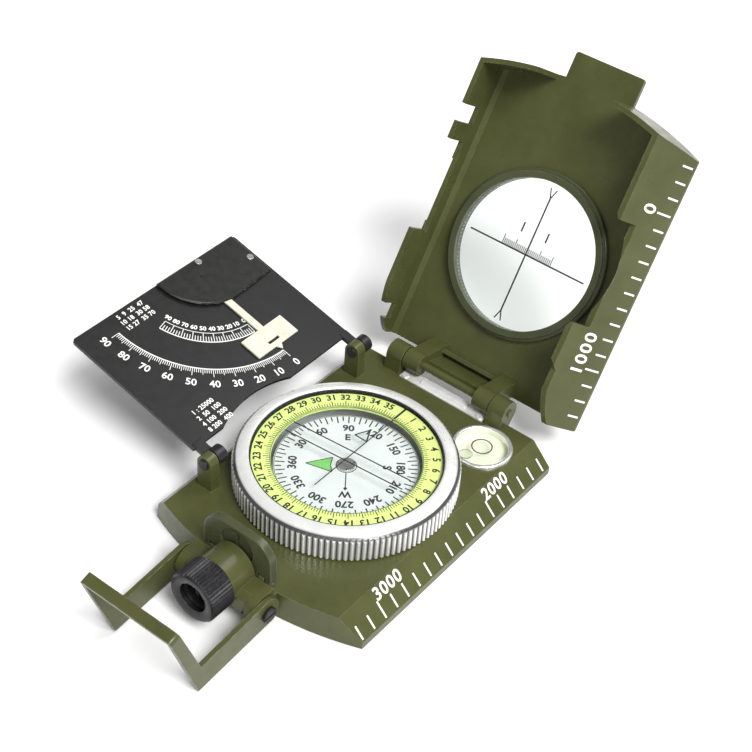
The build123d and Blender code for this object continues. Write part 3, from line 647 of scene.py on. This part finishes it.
# Map scale on the lid's flared wall, which runs from the scale edge to the crest
LID_SCALE_LAST_Y = 34.67
LID_LONG_TICKS = (3, 13)
LID_NUMBERS = {"0": -17.6, "1000": 18.9}
CREST_X, SCALE_EDGE_Z = 23.9, 19.7
lid_low, lid_high = span("lid_shell", LID)
wall_slope = math.atan2(lid_high.x - CREST_X, SCALE_EDGE_Z - lid_low.z)
LID_WALL = (LID @ Matrix.Translation(Vector((lid_high.x, 0, SCALE_EDGE_Z)) * MM)
            @ Matrix.Rotation(math.pi / 2 + wall_slope, 4, "Y"))
lid_scale = Marks("lid_scale", "white_print", "lid", LID_WALL, SCALE_PRINT)
for i in range(17):
    y = LID_SCALE_LAST_Y - SCALE_STEP * (16 - i)
    long = 4.2 if i in LID_LONG_TICKS else 3.1
    lid_scale.stroke((0.4, y), (0.4 + long, y), SCALE_WIDTH, SCALE_SUNK)
for number, y in LID_NUMBERS.items():
    lid_scale.text(number, (7.0, y), 3.4, -90, SCALE_SUNK, 0.08, spacing=1.15)
lid_scale.done()

# Sight glass: cross lines with arrowheads, a fine reticle and two short marks
sight_low, sight_high = span("window_glass", LID)
sight = Vector(((sight_low.x + sight_high.x) / 2, (sight_low.y + sight_high.y) / 2))
reach = (sight_high.x - sight_low.x) / 2
HEAD_GAP = 3.4             # room that each arrowhead takes at the end of its line
RETICLE_STEP = 0.5
cross = Marks("sight_lines", "black_print", "lid", LID, down=True)
z = sight_low.z
cross.stroke((sight.x, sight.y - reach + HEAD_GAP), (sight.x, sight.y + reach - HEAD_GAP), 0.42, z)
cross.stroke((sight.x - 16.4, sight.y), (sight.x + 16.8, sight.y), 0.4, z)
for side in (-1, 1):
    end = sight.y + side * (reach - 0.5)
    for lean in (-1, 1):
        cross.stroke((sight.x, end - side * HEAD_GAP), (sight.x + lean * 0.9, end - side * 0.9),
                     0.32, z)
for i in range(-14, 15):
    if i:
        long = 2.5 if i % 7 == 0 else 1.6
        x = sight.x + i * RETICLE_STEP
        cross.stroke((x, sight.y), (x, sight.y - long), 0.22, z)
for side in (-1, 1):
    x = sight.x + side * 3.5
    cross.stroke((x, sight.y - 4.6), (x, sight.y - 7.1), 0.42, z)
cross.done()

# Clinometer: two graduated arcs round the pendulum's pivot
PLATE_THICK = 1.0
DEGREES_R = 27.9           # outer arc, a tick for each degree
DEGREES_TEXT_R = 32.2
INNER_R = 19.7             # inner arc, with a fine line where its long ticks end
INNER_LINE_R = 17.0
INNER_TEXT_R = 15.6
INNER_FIRST, INNER_LAST = 184, 256
plate_high = span("clinometer_plate", PANEL)[1]
pin_low, pin_high = span("pendulum_pin", PANEL)
swing = ((pin_low.x + pin_high.x) / 2, (pin_low.y + pin_high.y) / 2)
face_z = plate_high.z - PLATE_THICK
grad = Marks("clinometer_marks", "white_print", "panel", PANEL, down=True)
grad.arc(swing, DEGREES_R, 0.3, 180, 270, face_z, 60)
for i in range(91):
    long = 2.3 if i % 10 == 0 else 1.7 if i % 5 == 0 else 1.25
    radial_tick(grad, DEGREES_R, DEGREES_R + long, 180 + i, 0.16, face_z, swing)
for i in range(10):
    angle = 180 + i * 10
    at = polar(DEGREES_TEXT_R, angle, swing)
    grad.text(str(i * 10), at, 1.9, angle + 90, face_z, 0.05, mirror=True)
grad.arc(swing, INNER_R, 0.28, INNER_FIRST, INNER_LAST, face_z, 60)
grad.arc(swing, INNER_LINE_R, 0.16, INNER_FIRST, INNER_LAST, face_z, 60)
for i in range(37):
    long = 2.7 if i % 4 == 0 else 1.6
    radial_tick(grad, INNER_R - long, INNER_R, INNER_FIRST + i * 2, 0.18, face_z, swing)
for i in range(10):
    angle = INNER_FIRST + i * 8
    at = polar(INNER_TEXT_R, angle, swing)
    grad.text(str(i * 10), at, 1.2, angle + 90, face_z, 0.05, mirror=True)

# Two blocks of plain numbers that stand for reading tables: centre from the pivot, then the rows
ROW_STEP = 1.9
TABLES = (((1.6, -20.8), ("5  9  25  47", "10 18  30 58", "15 27  35 70")),
          ((-30.2, -27.6), ("1 : 25000", "2  50  100", "4 100  200", "8 200  400")))
for (dx, dy), rows in TABLES:
    for row, words in enumerate(rows):
        at = (swing[0] + dx + (len(rows) / 2 - 0.5 - row) * ROW_STEP, swing[1] + dy)
        grad.text(words, at, 1.2, -90, face_z, 0.04, mirror=True, spacing=1.05)
grad.done()


# --- Floor, light and camera --------------------------------------------------
def floor():
    """Pale floor, wide enough that no view shows its edge."""
    size = 30.0
    mesh = bpy.data.meshes.new("floor")
    mesh.from_pydata([(-size, -size, 0), (size, -size, 0), (size, size, 0), (-size, size, 0)],
                     [], [(0, 1, 2, 3)])
    obj = placed("floor", mesh)
    mesh.materials.append(coated("floor_white", rgb(0.9, 0.9, 0.9), rgb(0.92, 0.92, 0.92), 0.8,
                                 3.0, 0.0))
    obj.location.z = -0.0002


def light(name, kind, at, target, **settings):
    """Light at one point that shines towards another."""
    data = bpy.data.lights.new(name, kind)
    for key, value in settings.items():
        setattr(data, key, value)
    obj = placed(name, data)
    obj.location = at
    obj.rotation_euler = (Vector(target) - Vector(at)).to_track_quat("-Z", "Y").to_euler()


floor()
middle = (cad_box[0] + cad_box[1]) / 2
light("key", "SUN", (0.55, -0.2, 0.8), middle, energy=3.45, angle=math.radians(25))
light("softbox", "AREA", (0.15, 0.35, 0.5), middle, shape="DISK", size=0.35, energy=1.6)
light("front", "AREA", (0.25, -0.6, 0.3), middle, shape="DISK", size=0.4, energy=1.0)

world = bpy.data.worlds.new("studio")
world.use_nodes = True
sky = world.node_tree.nodes["Background"]
sky.inputs["Color"].default_value = rgb(1.0, 1.0, 1.0)
sky.inputs["Strength"].default_value = 0.33
bpy.context.scene.world = world
bpy.context.scene.view_settings.view_transform = "Standard"

CAMERA_AT = (0.1592, -0.21457, 0.27303)
CAMERA_TURN = (48.694, -3.406, 38.469)     # degrees
lens = bpy.data.cameras.new("camera")
lens.lens = 78.6
lens.sensor_width = 36.0
lens.clip_start = 0.01
camera = placed("camera", lens)
camera.location = CAMERA_AT
camera.rotation_euler = Euler([math.radians(a) for a in CAMERA_TURN])
bpy.context.scene.camera = camera
